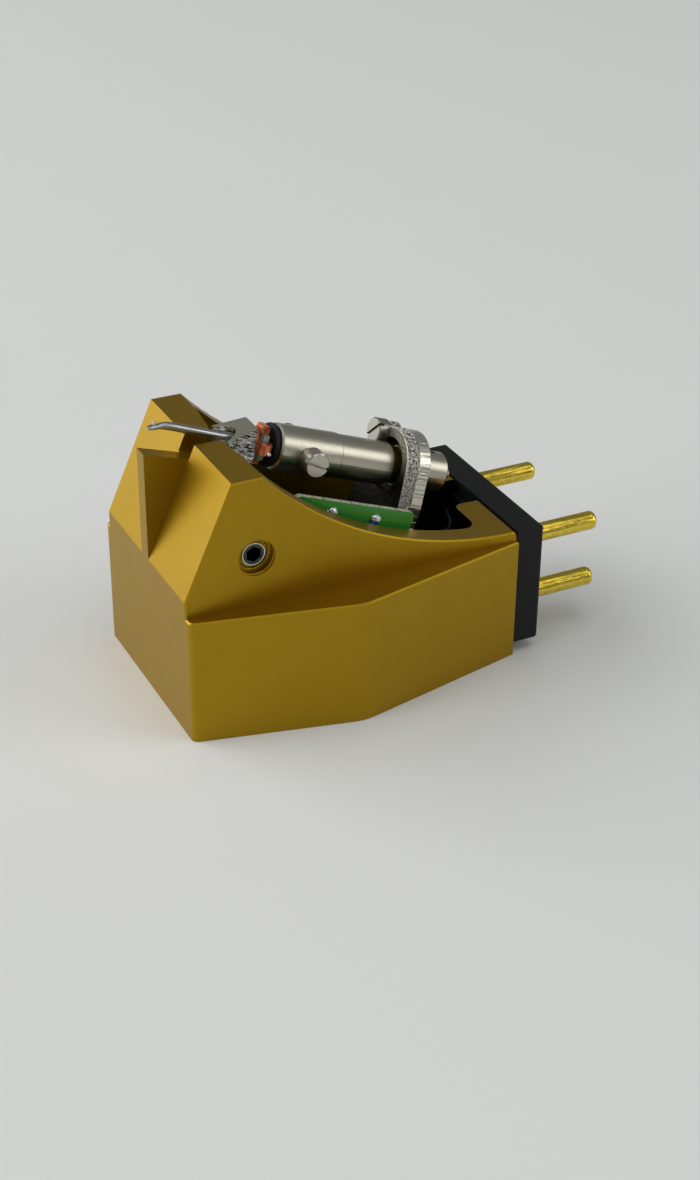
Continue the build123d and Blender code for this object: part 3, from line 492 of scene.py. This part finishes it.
# %% [markdown]
# The front pole
#
# The block in front of the coils is soft iron, ground on top and filed on its sides. The file leaves
# scratches along the axis. The sides get a near-white colour, which is bright filed metal and partly a
# painted highlight, and painted shade goes into the furrows between the scratches. The sides could be
# picked by hand, but the normal already says which way a face looks, so one material does both kinds of
# face.
# %% Ground and filed iron


def sideways(finish, start, end):
    """Goes from 0 to 1 as faces turn towards the left or the right."""
    normal = add_node(finish, "TexCoord", {}).outputs["Normal"]
    across = add_node(finish, "SeparateXYZ", {"Vector": normal}).outputs["X"]
    size = add_node(finish, "Math", {0: across}, operation="ABSOLUTE").outputs[0]
    return spread(finish, size, 0, 1, start, end)


filed = new_finish("filed_iron", (0.62, 0.6, 0.47), metallic=1.0, roughness=0.3)
on_side = sideways(filed, 0.45, 0.75)
scratches = noise(filed, 0.085, 3, squeeze=(0.25, 0.14, 1), tilt=TILT, rough=0.7)
raise_by(filed, times(filed, scratches, on_side), 0.32)
raise_by(filed, noise(filed, 0.08, 2), 0.003)
vary_gloss(filed, on_side, 0.32, 0.17)
# The side faces get a near-white colour: bright filed metal, and partly a painted highlight.
lay_over(filed, on_side, (0.97, 0.96, 0.92))
# Painted shade in the furrows between the scratches.
shaded_furrows = times(filed, spread(filed, scratches, 1, 0, 0.44, 0.52), on_side)
lay_over(filed, shaded_furrows, (0.05, 0.048, 0.042))
dress(filed, "front_pole")

# %% [markdown]
# The damper
#
# A disc of black rubber lets the coils swing and calms them down. Rubber has hardly any gloss, so its
# specular level is half the usual one, and its skin is a little lumpy from the mould.
# %% Damper rubber
rubber = new_finish("damper_rubber", (0.008, 0.008, 0.009), roughness=0.55, Specular_IOR_Level=0.25)
raise_by(rubber, noise(rubber, 0.1, 3), 0.01)
dress(rubber, "damper")

# %% [markdown]
# The grub screws
#
# A grub screw has no head, only a hexagon socket in its end. It is blackened steel, and its rim gets a
# painted highlight, a near-white ring. A bright ring of its own would be one more solid. The distance
# from the screw's own axis says where the rim is, and one material does both screws.
# %% Blackened steel with a painted highlight on the rim
GRUB_HIGHLIGHT_FROM = 0.67
steel = new_finish("set_screw_steel", (0.055, 0.055, 0.045), metallic=1.0, roughness=0.2)
grub_rim_highlight = from_line(steel, GRUB * MM, (1, 0, 0), GRUB_HIGHLIGHT_FROM, GRUB_HIGHLIGHT_FROM + 0.06)
# Painted highlight: a near-white ring on the rim of each grub screw.
lay_over(steel, grub_rim_highlight, (0.85, 0.84, 0.82))
raise_by(steel, noise(steel, 0.35, 2), 0.03)
dress(steel, "grub_screw_right", "grub_screw_left")

# %% [markdown]
# The brass collar and the copper anchor
#
# A brass collar centres the rear sleeve in the bracket, and a copper tip behind the core is crimped on
# the tie wire. The collar was turned on the same axis as the sleeves, so it gets the same rings. The
# crimped tip is lumpy instead, because pliers made it.
# %% Turned brass and crimped copper
brass = new_finish("turned_brass", (0.62, 0.45, 0.14), metallic=1.0, roughness=0.3)
raise_by(brass, noise(brass, 0.06, 2, squeeze=LATHE, tilt=TILT), 0.003)
dress(brass, "brass_collar")

copper = new_finish("crimped_copper", (0.74, 0.42, 0.24), metallic=1.0, roughness=0.32)
raise_by(copper, noise(copper, 0.15, 3), 0.012)
dress(copper, "wire_anchor")

# %% [markdown]
# The tie wire
#
# A steel wire runs through the tube and pulls the coils against the damper. It is drawn bright, and
# only a few stains on it break the shine, so a noise in the gloss is all that it needs.
# %% Tie wire steel
wire_steel = new_finish("tie_wire_steel", (0.5, 0.5, 0.5), metallic=1.0, roughness=0.25)
vary_gloss(wire_steel, noise(wire_steel, 0.2, 2), 0.2, 0.35)
dress(wire_steel, "tie_wire")

# %% [markdown]
# The magnet and the former
#
# The magnet below the generator is sintered, dark and ground flat, so it has faint marks along its
# length. The former that carries the coils is thin iron with a green tinge, as lacquer gives it. Neither
# is bare metal at its surface, so their metallic value stays below 1.
# %% Ground magnet and lacquered iron
magnet = new_finish("ground_magnet", (0.075, 0.075, 0.07), metallic=0.9, roughness=0.42)
raise_by(magnet, noise(magnet, 0.1, 2, squeeze=(1, 0.1, 1)), 0.004)
dress(magnet, "magnet")

former = new_finish("former_iron", (0.34, 0.38, 0.30), metallic=0.8, roughness=0.4)
raise_by(former, noise(former, 0.1, 2), 0.004)
dress(former, "coil_former")

# %% [markdown]
# The circuit board
#
# A board is glass cloth in epoxy. Its two faces have a glossy green mask, and its sawn edges show the
# pale, crumbly cloth with gaps in it. The board stands upright, so the same test of the normal that
# found the pole's sides tells its faces from its edges.
# %% Green board with sawn edges
board = new_finish("board_green", (0.035, 0.29, 0.035), roughness=0.25, IOR=1.5)
sawn_edge = sideways(board, 0.6, 0.4)
crumbs = noise(board, 0.28, 5, rough=0.8)
lay_over(board, sawn_edge, (0.66, 0.68, 0.46))
vary_gloss(board, sawn_edge, 0.22, 0.7)
raise_by(board, times(board, crumbs, sawn_edge), 0.3)
lay_over(board, times(board, spread(board, crumbs, 1, 0, 0.42, 0.49), sawn_edge), (0.12, 0.15, 0.06))
dress(board, "circuit_board")

# %% [markdown]
# The solder domes
#
# Solder sets with a bright skin that wrinkles as it cools. Wide, fairly deep bump bends the reflections
# as those wrinkles do, and the low roughness keeps them sharp.
# %% Tin solder
tin = new_finish("tin_solder", (0.78, 0.78, 0.77), metallic=1.0, roughness=0.16)
raise_by(tin, noise(tin, 0.3, 2), 0.12)
dress(tin, "solder_joints")

# %% [markdown]
# The leads
#
# Four thin wires in coloured insulation join the board to the pins. The one that shows is blue, and the
# others have colours that such leads come in. Behind the board they lie in the dark of the cavity, so
# they get a painted shade there, from the same kind of box mask that the housing has.
# %% Insulated leads
LEAD_COLOURS = {
    "lead_left_signal": (0.02, 0.06, 0.36),
    "lead_left_ground": (0.62, 0.62, 0.58),
    "lead_right_signal": (0.42, 0.02, 0.02),
    "lead_right_ground": (0.02, 0.22, 0.05),
}
BEHIND_BOARD_LOW, BEHIND_BOARD_HIGH = (-5, 5.4, 0), (5, 14, 20)
for lead, colour in LEAD_COLOURS.items():
    insulation = new_finish(lead, colour, roughness=0.42, Specular_IOR_Level=0.2)
    vary_gloss(insulation, noise(insulation, 0.2, 2), 0.36, 0.5)
    raise_by(insulation, noise(insulation, 0.08, 2), 0.004)
    lead_shade_box = inside_box(insulation, BEHIND_BOARD_LOW, BEHIND_BOARD_HIGH)
    # Painted shade: a near-black colour on the leads behind the board.
    lay_over(insulation, lead_shade_box, (0.004, 0.005, 0.012))
    dress(insulation, lead)

# %% [markdown]
# The diamond
#
# The stylus is a sliver of polished diamond. Full transmission would need many light bounces in so
# small a stone, so part of it stays white. Its index of refraction is 2.4, where glass has 1.5, and
# that gives its hard sparkle.
# %% Diamond
diamond = new_finish(
    "diamond", (0.95, 0.95, 0.93), roughness=0.04, IOR=2.4, Transmission_Weight=0.7
)
vary_gloss(diamond, noise(diamond, 0.1, 1), 0.03, 0.08)
dress(diamond, "stylus")

# %% [markdown]
# The cantilever's path
#
# The real one is a drawn tube that comes forward from the armature, tapers towards the record and is
# bent level near its end. Its solid has a sharp bend. Two straight runs with a short curve between them
# look right: the curve is the middle of three points, each mixed from its two neighbours.
# %% Lay the path
KINK_BEHIND_TIP = 1.05 * MM
BEND_HALF = 0.5 * MM
FLAT_HALF = 0.15 * MM
low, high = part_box("cantilever")
stylus_low, stylus_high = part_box("stylus")
TUBE_RADIUS = (high.x - low.x) / 2
TIP = Vector((0, low.y, stylus_low.z - FLAT_HALF))
KINK = TIP + Vector((0, KINK_BEHIND_TIP, 0))
START = on_axis(ARMATURE_MIDDLE)
STRAIGHT = (KINK - START).length
FLAT = (TIP - KINK).length


def cantilever_point(share):
    """Centre of the tube and its direction, from the armature (0) to the flat tip (1)."""
    travelled = share * (STRAIGHT + FLAT)
    if travelled < STRAIGHT - BEND_HALF:
        return START.lerp(KINK, travelled / STRAIGHT), (KINK - START).normalized()
    if travelled > STRAIGHT + BEND_HALF:
        return KINK.lerp(TIP, (travelled - STRAIGHT) / FLAT), (TIP - KINK).normalized()
    first = START.lerp(KINK, (STRAIGHT - BEND_HALF) / STRAIGHT)
    last = KINK.lerp(TIP, BEND_HALF / FLAT)
    part = (travelled - STRAIGHT + BEND_HALF) / (2 * BEND_HALF)
    centre = first.lerp(KINK, part).lerp(KINK.lerp(last, part), part)
    return centre, ((KINK - first).lerp(last - KINK, part)).normalized()


print("tube in mm: straight", round(STRAIGHT / MM, 2), " level", round(FLAT / MM, 2))

# %% [markdown]
# One ring round the cantilever
#
# At its end the tube is pinched flat to hold the diamond, and its nose is rounded off. A curve with a
# round bevel can't be pinched. A ring of points with its own width and thickness can be, and how far it
# is pinched depends only on its place along the path.
# %% Shape a ring
SIDES = 28
PINCH_START, PINCH_END = 0.84, 0.93
NOSE_START, NOSE_NARROWS, NOSE_THINS = 0.972, 0.45, 0.35
TAPER = 0.14


def smooth_step(value, start, end):
    """0 before start, 1 after end, and a soft change between."""
    part = min(max((value - start) / (end - start), 0), 1)
    return part * part * (3 - 2 * part)


def ring_of_points(grid, share):
    """The points round the tube at one place on its path."""
    centre, direction = cantilever_point(share)
    pinch = smooth_step(share, PINCH_START, PINCH_END)
    nose = smooth_step(share, NOSE_START, 1.0)
    radius = TUBE_RADIUS * (1 - TAPER * share)
    half_width = (radius * (1 - pinch) + TUBE_RADIUS * pinch) * (1 - NOSE_NARROWS * nose)
    half_height = (radius * (1 - pinch) + FLAT_HALF * pinch) * (1 - NOSE_THINS * nose)
    over = Vector((1, 0, 0)).cross(direction).normalized()
    if over.z < 0:
        over = -over
    points = []
    for side in range(SIDES):
        angle = 2 * pi * side / SIDES
        offset = Vector((cos(angle) * half_width, 0, 0)) + over * sin(angle) * half_height
        points.append(grid.verts.new(centre + offset))
    return points


print("tube radius in mm:", round(TUBE_RADIUS / MM, 3), " pinched to:", round(FLAT_HALF / MM, 3))

# %% [markdown]
# The cantilever's skin
#
# The rings are placed along the path and joined by four-sided faces, with a cap at each end. They lie
# closer together towards the tip, where the form changes fastest. A power below 1 does that.
# %% Skin the tube
RINGS = 40
CROWDING = 0.75
tube = bmesh.new()
rings = [ring_of_points(tube, (ring / RINGS) ** CROWDING) for ring in range(RINGS + 1)]
for first, second in zip(rings, rings[1:]):
    for side in range(SIDES):
        after = (side + 1) % SIDES
        tube.faces.new((first[side], first[after], second[after], second[side]))
tube.faces.new(rings[0][::-1])
tube.faces.new(rings[-1])
bmesh.ops.recalc_face_normals(tube, faces=tube.faces)
print("faces of the tube:", len(tube.faces))

# %% [markdown]
# The cantilever's finish, and its place in the frame
#
# Drawing a tube through a die leaves lines along it, so the noise is squeezed that way. The new piece
# then has to say which body it rides on and which solid it replaces. It swings with the coils, so it
# rides on the moving system.
# %% Hang the cantilever in the moving system
SHARP_FROM = radians(40)


def ride_with_coils(piece, slot, *solids):
    """Puts a piece in the scene on the moving system, in the place of the solids, if any."""
    bpy.context.scene.collection.objects.link(piece)
    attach(piece, "moving_system")
    if solids:
        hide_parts(*solids)
    return piece


def mesh_piece(grid, name, finish):
    """Turns a bmesh into a smooth object that keeps its sharp edges."""
    mesh = bpy.data.meshes.new(name)
    grid.to_mesh(mesh)
    grid.free()
    mesh.materials.append(finish)
    mesh.shade_smooth()
    mesh.set_sharp_from_angle(angle=SHARP_FROM)
    print(name, "faces:", len(mesh.polygons))
    return bpy.data.objects.new(name, mesh)


drawn = new_finish("drawn_alloy", (0.40, 0.40, 0.40), metallic=1.0, roughness=0.26)
drawing_lines = noise(drawn, 0.08, 2, squeeze=(1, 0.04, 1), tilt=TILT)
vary_gloss(drawn, drawing_lines, 0.2, 0.38)
raise_by(drawn, drawing_lines, 0.002)
ride_with_coils(mesh_piece(tube, "cantilever_tube", drawn), "cantilever_alloy", "cantilever")

# %% [markdown]
# The path of a coil's wire
#
# Two coils of enamelled copper are wound over the square former, one round it each way. A plain band
# would look like tape. Each coil here is one long wire: a loop that steps sideways with every turn and
# goes back in the next of five layers. A loop with rounded corners comes from a circle whose sine and
# cosine are raised to a power below 1. The coil is shallow at its waist, where it crosses the former.
# %% Lay the wire's path
WIRE_RADIUS = 0.03
CORNER = 0.4
TURNS = 12
LAYERS = 5
POINTS_PER_TURN = 20
FORMER_HALF = 0.8
FORMER_HALF_DEPTH = 0.2
COIL_HALF = 1.3
COIL_WIDTH = 0.68
SWELL_START = 0.2
WAIST_WIDTH = 0.8


def squared(value):
    """A sine or cosine bent towards a square's corner."""
    return abs(value) ** CORNER * (1 if value >= 0 else -1)


def wound_path(waist, shoulder):
    """Points of one coil in millimetres: across its width, along its long side, and deep."""
    points = []
    for layer in range(LAYERS):
        part = (layer + 0.5) / LAYERS
        long_half = FORMER_HALF + (COIL_HALF - FORMER_HALF) * part
        for step in range(TURNS * POINTS_PER_TURN + 1):
            share = step / (TURNS * POINTS_PER_TURN)
            side = share if layer % 2 == 0 else 1 - share
            angle = 2 * pi * (step % POINTS_PER_TURN) / POINTS_PER_TURN
            long = long_half * squared(cos(angle))
            swell = smooth_step(abs(long), SWELL_START, FORMER_HALF)
            thickness = waist + (shoulder - waist) * swell
            deep = (FORMER_HALF_DEPTH + WIRE_RADIUS + thickness * part) * squared(sin(angle))
            width = COIL_WIDTH * (WAIST_WIDTH + (1 - WAIST_WIDTH) * swell)
            points.append(((side - 0.5) * width, long, deep))
    return points


RIGHT_COIL = wound_path(waist=0.15, shoulder=0.22)
LEFT_COIL = wound_path(waist=0.03, shoulder=0.1)
print("turns a coil:", TURNS * LAYERS, " points:", len(RIGHT_COIL))

# %% [markdown]
# The coils
#
# The path becomes wire through a curve's bevel, which gives it a round section without any mesh code.
# The outer coil, on the right, is deeper and lies across the inner one. The enamel is a clear coat over
# two coppers, so that neighbouring turns differ a little, as they do on a hand-wound coil.
# %% Wind the coils


def wire_along(name, points, place, finish):
    """A round wire through points, each put in its place beside the axis."""
    curve = bpy.data.curves.new(name, "CURVE")
    curve.dimensions = "3D"
    curve.bevel_depth = WIRE_RADIUS * MM
    curve.bevel_resolution = 2
    curve.use_fill_caps = True
    spline = curve.splines.new("POLY")
    spline.points.add(len(points) - 1)
    for target, point in zip(spline.points, points):
        target.co = (*place(*point), 1)
    curve.materials.append(finish)
    print(name, "points:", len(points))
    return bpy.data.objects.new(name, curve)


def lying(across, long, deep):
    """The right coil's long side goes out to the sides."""
    return on_axis(ARMATURE_MIDDLE - deep, out=long, up=across)


def standing(across, long, deep):
    """The left coil's long side goes up and down."""
    return on_axis(ARMATURE_MIDDLE - deep, out=across, up=long)


enamel = new_finish(
    "enamelled_copper", (0.62, 0.15, 0.06), metallic=0.75, roughness=0.3, Coat_Weight=0.5
)
lay_over(enamel, spread(enamel, noise(enamel, 0.3, 2), 0, 1, 0.35, 0.65), (0.95, 0.32, 0.15))
right_wire = wire_along("coil_right_wire", RIGHT_COIL, lying, enamel)
ride_with_coils(right_wire, "coil_copper", "coil_right")
left_wire = wire_along("coil_left_wire", LEFT_COIL, standing, enamel)
ride_with_coils(left_wire, "coil_copper", "coil_left")

# %% [markdown]
# The solder bead on the right coil
#
# The end of the wire is held by a drop of solder at the coil's side. It could be a ball, but a drop
# that ran along the turns is longer one way and lumpy. So the points of a small sphere are scaled and
# moved in and out by a slow wave, and the bead shares its finish with the domes on the board.
# %% Solder the wire's end
BEAD_MIDDLE = on_axis(-0.7, out=1.27, up=-0.2)
BEAD_REACH = Vector((0.12, 0.17, 0.13)) * MM
BEAD_LUMPS = 0.18
bead = bmesh.new()
bmesh.ops.create_icosphere(bead, subdivisions=3, radius=1)
for vertex in bead.verts:
    lump = 1 + BEAD_LUMPS * sin(5 * vertex.co.x + 3 * vertex.co.y) * cos(4 * vertex.co.z)
    vertex.co = BEAD_MIDDLE + Vector([a * b * lump for a, b in zip(vertex.co, BEAD_REACH)])
ride_with_coils(mesh_piece(bead, "coil_solder_bead", tin), "solder")

# %% [markdown]
# The floor
#
# The photograph was taken on a pale matte sheet. A curved backdrop isn't needed, because the camera
# looks down and sees nothing but the sheet. The plane lies a hair below the housing, so that its face
# doesn't fight with the housing's lowest one, and it is marked as part of the stage.
# %% Lay the floor
FLOOR_HALF = 0.8
FLOOR_DROP = 0.02 * MM
grid = bmesh.new()
corners = [(-1, -1), (1, -1), (1, 1), (-1, 1)]
grid.faces.new([grid.verts.new((x * FLOOR_HALF, y * FLOOR_HALF, -FLOOR_DROP)) for x, y in corners])
floor_mesh = bpy.data.meshes.new("floor")
grid.to_mesh(floor_mesh)
grid.free()
paper = new_finish("pale_sheet", (0.775, 0.785, 0.765), roughness=0.7)
vary_gloss(paper, noise(paper, 8, 2), 0.65, 0.75)
floor_mesh.materials.append(paper)
floor = bpy.data.objects.new("floor", floor_mesh)
bpy.context.scene.collection.objects.link(floor)
floor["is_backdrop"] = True
print("floor is", 2 * FLOOR_HALF, "m wide")

# %% [markdown]
# The lamps
#
# One large soft lamp stands at the front left, a weak one hangs above, and a small one at the rear right
# draws the pale band along the sleeves. One bright key would burn out the slopes of the housing, so the
# lamps are large and near and each one is weak. A lamp's power follows from how bright its face should
# look, so that a change of its size doesn't change the exposure of what it is mirrored in.
# %% Hang the lamps


def soft_lamp(name, towards, distance, size, radiance):
    """A flat lamp aimed at the cartridge. Radiance is how bright its face looks."""
    data = bpy.data.lights.new(name, "AREA")
    data.shape = "RECTANGLE"
    data.size, data.size_y = size
    data.energy = radiance * pi * size[0] * size[1]
    lamp = bpy.data.objects.new(name, data)
    bpy.context.scene.collection.objects.link(lamp)
    lamp.location = Vector(towards).normalized() * distance
    lamp.rotation_mode = "QUATERNION"
    lamp.rotation_quaternion = (CAMERA_TARGET - lamp.location).to_track_quat("-Z", "Y")
    print(name, "watts:", round(data.energy, 2))


soft_lamp("key", towards=(-0.39, -0.79, 0.43), distance=0.62, size=(0.95, 0.58), radiance=2.5)
soft_lamp("rear", towards=(0.5, 0.75, 0.42), distance=0.6, size=(0.36, 0.26), radiance=2.3)
soft_lamp("overhead", towards=(0.15, 0.1, 1.0), distance=0.7, size=(0.6, 0.6), radiance=1.1)

# %% [markdown]
# The room
#
# Everything that the lamps don't light gets a dim grey from the room, which also shows in the metal as
# its darker reflections. The Standard view shows colours about as they are written.
# %% Dim the room
ROOM_GREY = (0.2, 0.205, 0.205)
world = bpy.data.worlds.new("room")
bpy.context.scene.world = world
world.use_nodes = True
world.node_tree.nodes["Background"].inputs["Color"].default_value = (*ROOM_GREY, 1)
bpy.context.scene.view_settings.view_transform = "Standard"
print("room:", ROOM_GREY, " view:", bpy.context.scene.view_settings.view_transform)

# %% [markdown]
# The sizes
#
# Both boxes are printed: that of the solids, and that of everything that is shown. Nothing that was
# added may make the object larger than its solids, so both boxes are written down.
# %% Write the sizes
visual_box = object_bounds()
for name, (low, high) in (("cad", cad_box), ("visual", visual_box)):
    print(name, [round(c / MM, 2) for c in low], [round(c / MM, 2) for c in high])
